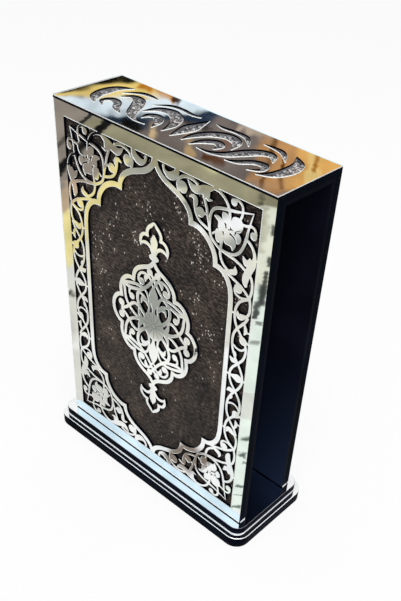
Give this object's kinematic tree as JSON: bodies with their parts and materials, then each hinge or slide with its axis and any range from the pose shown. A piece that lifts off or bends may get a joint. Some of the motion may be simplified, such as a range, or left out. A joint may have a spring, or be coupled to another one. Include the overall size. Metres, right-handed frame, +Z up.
{
  "type": "quran box",
  "caption": "Upright book slipcase, open at one end, clad in pierced mirror plates with a medallion over brown suede, standing on a stepped mirror base.",
  "frame": {"origin": "on the floor under the middle of the base", "axes": "+X along the front towards the open end, -Y the way the front cover faces, +Z up"},
  "size_m": [0.2014, 0.0794, 0.274],
  "materials": {
    "black_lacquer": "glossy black lacquer",
    "mirror_acrylic": "silver mirror",
    "brown_suede": "dark brown suede with bright flecks",
    "glitter_sheet": "silver grey glitter",
    "white_foam": "matt white foam"
  },
  "bodies": {
    "root": {"lower_tier_board": "black_lacquer", "lower_tier_mirror": "mirror_acrylic", "tier_foam": "white_foam", "upper_tier_board": "black_lacquer", "upper_tier_mirror": "mirror_acrylic", "front_foam": "white_foam", "back_foam": "white_foam", "end_foam": "white_foam", "front_board": "black_lacquer", "back_board": "black_lacquer", "end_board": "black_lacquer", "top_board": "black_lacquer", "front_panel": "brown_suede", "front_frame": "mirror_acrylic", "front_medallion": "mirror_acrylic", "back_panel": "brown_suede", "back_frame": "mirror_acrylic", "back_medallion": "mirror_acrylic", "end_panel": "glitter_sheet", "end_plate": "mirror_acrylic", "top_panel": "glitter_sheet", "top_plate": "mirror_acrylic"}
  },
  "joints": []
}
